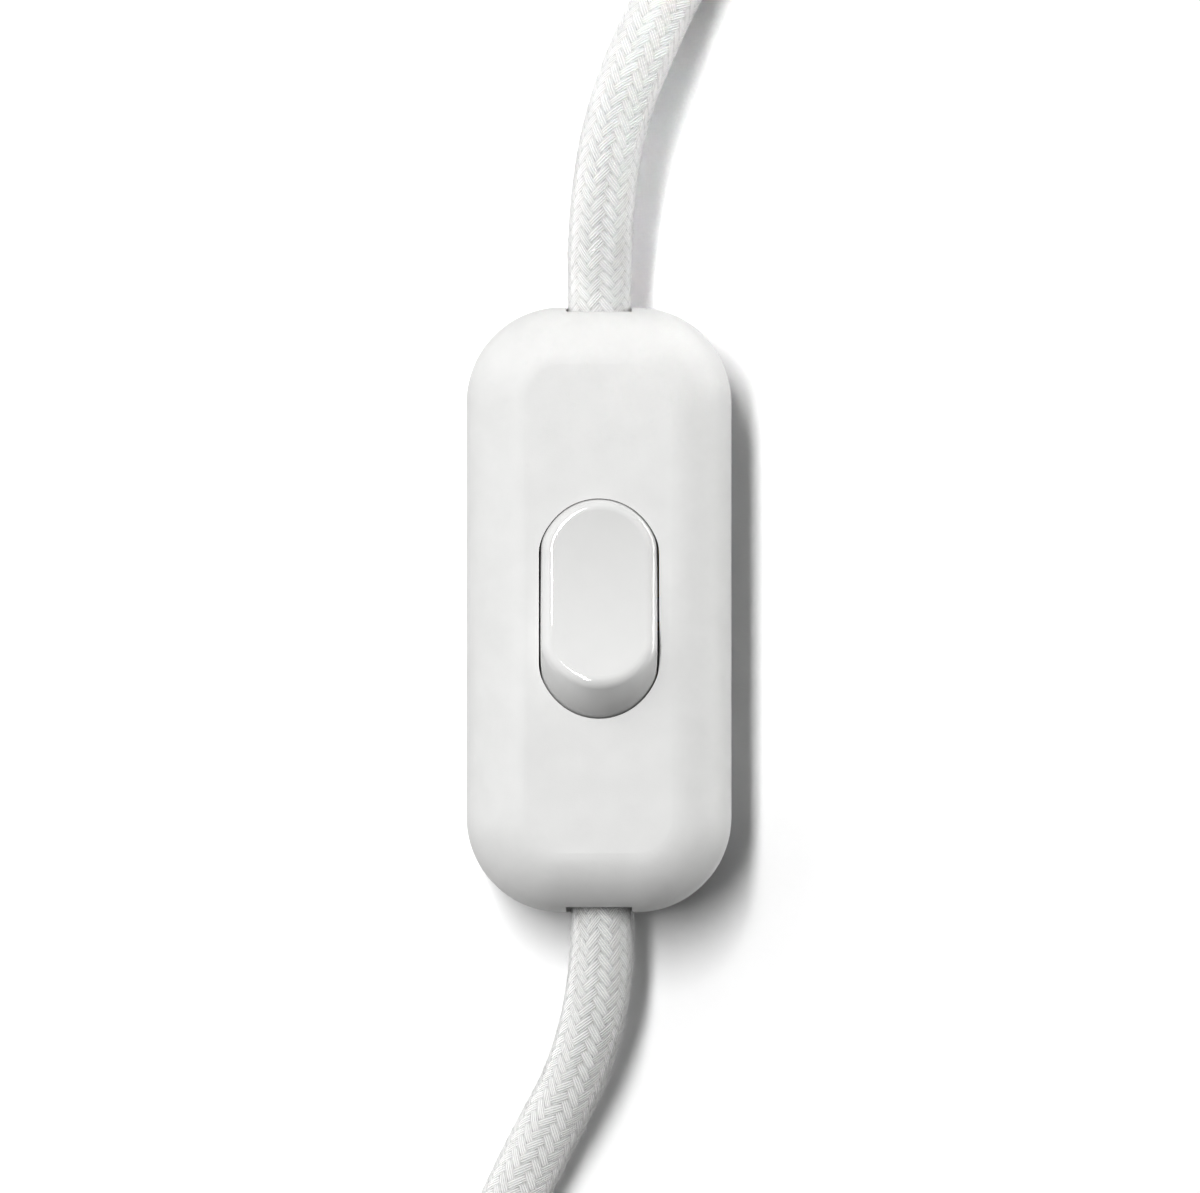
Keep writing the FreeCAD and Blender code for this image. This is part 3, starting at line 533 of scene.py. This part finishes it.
def finish_piece(obj, mat, smooth=True):
    obj.data.materials.clear()
    obj.data.materials.append(mat)
    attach(obj, "housing")
    return obj


# ------------------------------------------------------ pieces on the cords
def swept(name, centres, sections, closed=False):
    """One closed skin through the sections: sections[k] is a ring of points."""
    verts, faces = [], []
    sides = len(sections[0])
    for ring in sections:
        verts.extend([tuple(q) for q in ring])
    count = len(sections)
    for r in range(count if closed else count - 1):
        nxt = (r + 1) % count
        for c in range(sides):
            d = (c + 1) % sides
            faces.append((r * sides + c, r * sides + d, nxt * sides + d, nxt * sides + c))
    if not closed:
        faces.append(tuple(range(sides))[::-1])
        faces.append(tuple((count - 1) * sides + c for c in range(sides)))
    mesh = bpy.data.meshes.new(name)
    mesh.from_pydata(verts, [], faces)
    mesh.validate()
    mesh.polygons.foreach_set("use_smooth", [True] * len(mesh.polygons))
    mesh.update()
    obj = bpy.data.objects.new(name, mesh)
    scene.collection.objects.link(obj)
    return obj


def joined(name, objs):
    """One piece from several shells."""
    verts, faces = [], []
    for o in objs:
        base = len(verts)
        verts.extend([v.co[:] for v in o.data.vertices])
        faces.extend([[base + k for k in poly.vertices] for poly in o.data.polygons])
        data = o.data
        bpy.data.objects.remove(o)
        bpy.data.meshes.remove(data)
    mesh = bpy.data.meshes.new(name)
    mesh.from_pydata(verts, [], faces)
    mesh.polygons.foreach_set("use_smooth", [True] * len(mesh.polygons))
    mesh.update()
    obj = bpy.data.objects.new(name, mesh)
    scene.collection.objects.link(obj)
    return obj


def flat_ring(centre, wide, thick, half_w, half_t, corner=6):
    """Rounded flat section: wide and thick are unit directions."""
    out = []
    r = min(half_w, half_t) * 0.9
    for sx, sy, a0 in ((1, 1, 0), (-1, 1, 90), (-1, -1, 180), (1, -1, 270)):
        for k in range(corner):
            a = math.radians(a0 + 90.0 * k / (corner - 1))
            x = sx * (half_w - r) + r * math.cos(a)
            y = sy * (half_t - r) + r * math.sin(a)
            out.append(centre + wide * x + thick * y)
    return out


def bundle_tie(name, x, y, low, high):
    """A soft strip drawn tight round one bundle, its ends twisted together along the top."""
    r = 3.2
    outline = []
    for k in range(33):
        a = math.radians(-180 + 180.0 * k / 32)
        outline.append((r * math.cos(a), low + r * math.sin(a)))
    waist = []
    levels = int(round((high - low) / 6.5))
    for m in range(levels):
        for k in range(1, 8):
            f = k / 8
            waist.append((r - 0.32 * math.sin(math.pi * f) ** 2, low + 6.5 * (m + f)))
    outline += waist
    for k in range(33):
        a = math.radians(180.0 * k / 32)
        outline.append((r * math.cos(a), high + r * math.sin(a)))
    outline += [(-px, pz) for px, pz in reversed(waist)]
    pts = [Vector((px, 0.0, max(pz, 0.24))) for px, pz in outline]
    sections = []
    m = len(pts)
    for k, q in enumerate(pts):
        d = (pts[(k + 1) % m] - pts[k - 1])
        if d.length < 1e-6:
            d = Vector((1, 0, 0))
        d.normalize()
        out = Vector((d.z, 0.0, -d.x))
        centre = Vector((x + q.x, y + 0.12 * math.sin(k * 0.35), q.z)) * MM
        sections.append(flat_ring(centre, Vector((0, 1, 0)), out, 1.75 * MM, 0.2 * MM))
    band = swept(name + "_band", None, sections, closed=True)
    shells = [band]
    # two strips wound round each other, lying on the bundle
    length, top = 11.5, high + 3.25 + 0.85
    for side in (0.0, math.pi):
        sections = []
        for k in range(73):
            f = k / 72
            a = side + f * length / 3.1 * 2 * math.pi
            spread = 0.42 * min(1.0, 0.35 + 2.5 * min(f, 1 - f) + (1.4 * max(0.0, f - 0.86) / 0.14))
            drop = -0.55 * (1 - min(1.0, f / 0.1)) ** 2
            lift = 0.1 * math.sin(f * 5.0)
            centre = Vector((x + spread * math.cos(a) + 0.35 * math.sin(f * 3.0), y - 0.6 + f * length,
                             top + spread * math.sin(a) * 0.8 + drop + lift)) * MM
            wide = Vector((-math.sin(a), 0.0, math.cos(a)))
            thick = Vector((math.cos(a), 0.0, math.sin(a)))
            sections.append(flat_ring(centre, wide, thick, 0.58 * MM, 0.2 * MM, corner=4))
        shells.append(swept(name + "_end", None, sections))
    return shells


lamp_ties = joined("lamp_hank_tie_strips", [s for k, t in enumerate(LAMP_TIES) for s in bundle_tie("lamp_tie%d" % k, *t)])
plug_ties = joined("plug_hank_tie_strips", [s for k, t in enumerate(PLUG_TIES) for s in bundle_tie("plug_tie%d" % k, *t)])


def shrink_sleeve(name, line, s0, s1):
    """Thin shrunk tube that keeps the braid from fraying at the bare end."""
    stations = np.linspace(s0, s1, 40)
    p, t, n, b = line.at(stations)
    rings = []
    out, inn = [], []
    for k, s in enumerate(stations):
        f = (s - s0) / (s1 - s0)
        r = (CORD_R + 0.12 + 0.03 * math.sin(f * 23.0) - 0.1 * (1 - min(1.0, f / 0.05)) ** 2) * MM
        if f > 0.93:
            r -= (f - 0.93) / 0.07 * 0.45 * MM
        out.append((k, r))
    profile = out + [(39, out[-1][1] - 0.25 * MM), (39, 2.2 * MM), (36, 2.15 * MM)]
    # the far face is drawn in over the sheath, and ends in a shallow well round the cores
    for k, r in profile:
        theta = np.linspace(0, 2 * math.pi, 48, endpoint=False)
        ring = p[k] + r * (np.cos(theta)[:, None] * n[k] + np.sin(theta)[:, None] * b[k])
        rings.append([Vector(q) for q in ring])
    return swept(name, None, rings)


end_sleeve = shrink_sleeve("bare_end_sleeve", lamp_line, lamp_line.length - 11.0 * MM, lamp_line.length + 0.0 * MM)


def fibres(name, line, groups, seed):
    """Loose fibres that stand off the braid; groups is (count, from, to, angle, spread, reach)."""
    rng = random.Random(seed)
    verts, faces = [], []
    for count, s0, s1, middle, spread, reach in groups:
        for _ in range(count):
            s = rng.uniform(s0, s1)
            theta = math.radians(rng.gauss(middle, spread))
            run = rng.uniform(0.5, 1.9) * MM * rng.choice((-1, 1))
            swing = rng.uniform(-0.35, 0.35)
            out = abs(rng.gauss(0, 1)) * reach * MM + 0.03 * MM
            loop = rng.random() < 0.55
            rad = rng.uniform(0.008, 0.014) * MM
            kink = rng.uniform(-0.12, 0.12) * MM
            rows = []
            for k in range(9):
                f = k / 8
                ss = min(max(s + run * f, 0.0), line.length)
                p, t, n, b = line.at(np.array([ss]))
                th = theta + swing * f + 0.12 * math.sin(f * 6.0 + theta * 3)
                rise = math.sin(math.pi * f) if loop else f ** 1.3
                r = (CORD_R - 0.03) * MM + out * rise + kink * math.sin(f * 5.0) * rise
                d = np.cos(th) * n[0] + np.sin(th) * b[0]
                c = p[0] + d * r
                side = np.cross(d, t[0])
                rows.append((c, d, side, t[0]))
            base = len(verts)
            for c, d, side, along in rows:
                for q in range(3):
                    g = 2 * math.pi * q / 3
                    verts.append(tuple(c + rad * (math.cos(g) * d + math.sin(g) * side)))
            for k in range(8):
                for q in range(3):
                    q2 = (q + 1) % 3
                    faces.append((base + k * 3 + q, base + k * 3 + q2, base + k * 3 + 3 + q2, base + k * 3 + 3 + q))
            faces.append((base + 2, base + 1, base))
            faces.append((base + 24, base + 25, base + 26))
    mesh = bpy.data.meshes.new(name)
    mesh.from_pydata(verts, [], faces)
    mesh.polygons.foreach_set("use_smooth", [True] * len(mesh.polygons))
    mesh.update()
    obj = bpy.data.objects.new(name, mesh)
    scene.collection.objects.link(obj)
    return obj


# theta 0 is the +X side at the exit; the frame keeps it there along the line
p0, p1 = plug_line.s_at_y(-30.6 * MM), plug_line.s_at_y(-66.0 * MM)
l0, l1 = lamp_line.s_at_y(30.6 * MM), lamp_line.s_at_y(66.0 * MM)
plug_fuzz = fibres("plug_cord_fibres", plug_line, [(420, p0, p1, 0, 24, 0.16), (170, p0, p1, 180, 24, 0.07), (160, p0, p1, 90, 50, 0.05), (60, p0, p1, 270, 50, 0.05)], 5)
lamp_fuzz = fibres("lamp_cord_fibres", lamp_line, [(200, l0, l1, 0, 24, 0.07), (160, l0, l1, 180, 24, 0.05), (120, l0, l1, 270, 50, 0.04), (60, l0, l1, 90, 50, 0.04)], 6)


def fibre_material():
    mat, tree, shader = new_material("loose_fibre")
    n = Nodes(tree)
    tone = n.noise(2500.0, 2.0)
    n.link(n.ramp(tone, [(0.3, (0.72, 0.72, 0.715)), (0.7, (0.86, 0.86, 0.855))]), shader.inputs["Base Color"])
    n.link(n.spread(n.noise(9000.0, 2.0), 0.5, 0.8), shader.inputs["Roughness"])
    shader.inputs["Sheen Weight"].default_value = 0.2
    return mat


fibre_mat = fibre_material()
finish_piece(lamp_cord, braid_mat)
finish_piece(plug_cord, braid_mat)
finish_piece(lamp_ties, tie_mat)
finish_piece(plug_ties, tie_mat)
finish_piece(end_sleeve, tie_mat)
finish_piece(plug_fuzz, fibre_mat)
finish_piece(lamp_fuzz, fibre_mat)
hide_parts("lamp_cord", "lamp_hank")
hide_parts("plug_cord", "plug_hank", "plug_tail")
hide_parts("lamp_hank_ties")
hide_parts("plug_hank_ties")

# ---------------------------------------------------------- floor and light
mesh = bpy.data.meshes.new("floor")
mesh.from_pydata([(-8, -8, 0), (8, -8, 0), (8, 8, 0), (-8, 8, 0)], [], [(0, 1, 2, 3)])
floor = bpy.data.objects.new("floor", mesh)
scene.collection.objects.link(floor)
mat, tree, shader = new_material("pale_floor")
n = Nodes(tree)
n.link(n.ramp(n.noise(40.0, 3.0), [(0.3, (0.90, 0.90, 0.90)), (0.7, (0.93, 0.93, 0.93))]), shader.inputs["Base Color"])
n.link(n.spread(n.noise(220.0, 3.0), 0.8, 0.95), shader.inputs["Roughness"])
shader.inputs["Specular IOR Level"].default_value = 0.1
mesh.materials.append(mat)

# a long narrow soft box, a little to the left, from overhead towards +Y
key_data = bpy.data.lights.new("key", "AREA")
key_data.shape = "RECTANGLE"
key_data.size, key_data.size_y = 0.11, 0.68
key_data.energy = 10.6
key = bpy.data.objects.new("key", key_data)
scene.collection.objects.link(key)
key.location = (-0.197, 0.27, 1.01)

# a weak narrow fill from the right on the upper cord and its shadow
fill_data = bpy.data.lights.new("side_fill", "AREA")
fill_data.shape = "SQUARE"
fill_data.size = 0.02
fill_data.spread = math.radians(6.5)
fill_data.energy = 0.0016
fill = bpy.data.objects.new("side_fill", fill_data)
scene.collection.objects.link(fill)
fill.location = (0.305, 0.072, 0.4)
fill.rotation_euler = (fill.location - Vector((0.005, 0.047, 0.0))).to_track_quat("Z", "Y").to_euler()

world = bpy.data.worlds.new("studio")
scene.world = world
world.use_nodes = True
wn = Nodes(world.node_tree)
back = world.node_tree.nodes["Background"]
toward = wn.new("ShaderNodeVectorMath", operation="DOT_PRODUCT")
wn.link(wn.new("ShaderNodeTexCoord").outputs["Generated"], toward.inputs[0])
toward.inputs[1].default_value = (0.05, 0.8, 0.6)
split = wn.new("ShaderNodeSeparateXYZ")
wn.link(wn.new("ShaderNodeTexCoord").outputs["Generated"], split.inputs[0])


def between(value, low, high, at_low, at_high):
    node = wn.new("ShaderNodeMapRange")
    for key_name, number in (("From Min", low), ("From Max", high), ("To Min", at_low), ("To Max", at_high)):
        node.inputs[key_name].default_value = number
    wn.link(value, node.inputs["Value"])
    return node.outputs["Result"]


soft = wn.math("ADD", 0.01, wn.math("MULTIPLY", wn.math("POWER", wn.math("MAXIMUM", toward.outputs["Value"], 0.0), 2.0), 0.24))
edge = between(split.outputs["Z"], 0.0, 0.07, 0.2, 0.0)
# broad fill from the left
left = wn.new("ShaderNodeVectorMath", operation="DOT_PRODUCT")
wn.link(wn.new("ShaderNodeTexCoord").outputs["Generated"], left.inputs[0])
left.inputs[1].default_value = (-0.72, 0.36, 0.6)
left_fill = wn.math("MULTIPLY", wn.math("POWER", wn.math("MAXIMUM", left.outputs["Value"], 0.0), 5.0), 1.5)
# low white wall on the right
wall = wn.math("MULTIPLY", between(split.outputs["X"], 0.6, 0.95, 0.0, 1.0), between(split.outputs["Z"], 0.0, 0.12, 48.0, 0.0))
wall = wn.math("MULTIPLY", wall, between(split.outputs["Y"], -0.1, 0.25, 0.0, 1.0))
total = wn.math("ADD", wn.math("ADD", soft, edge), wn.math("ADD", left_fill, wall))
wn.link(total, back.inputs["Color"])
back.inputs["Strength"].default_value = 1.0

scene.view_settings.view_transform = "Standard"
scene.view_settings.look = "None"
scene.view_settings.exposure = 0.0
scene.view_settings.gamma = 0.74
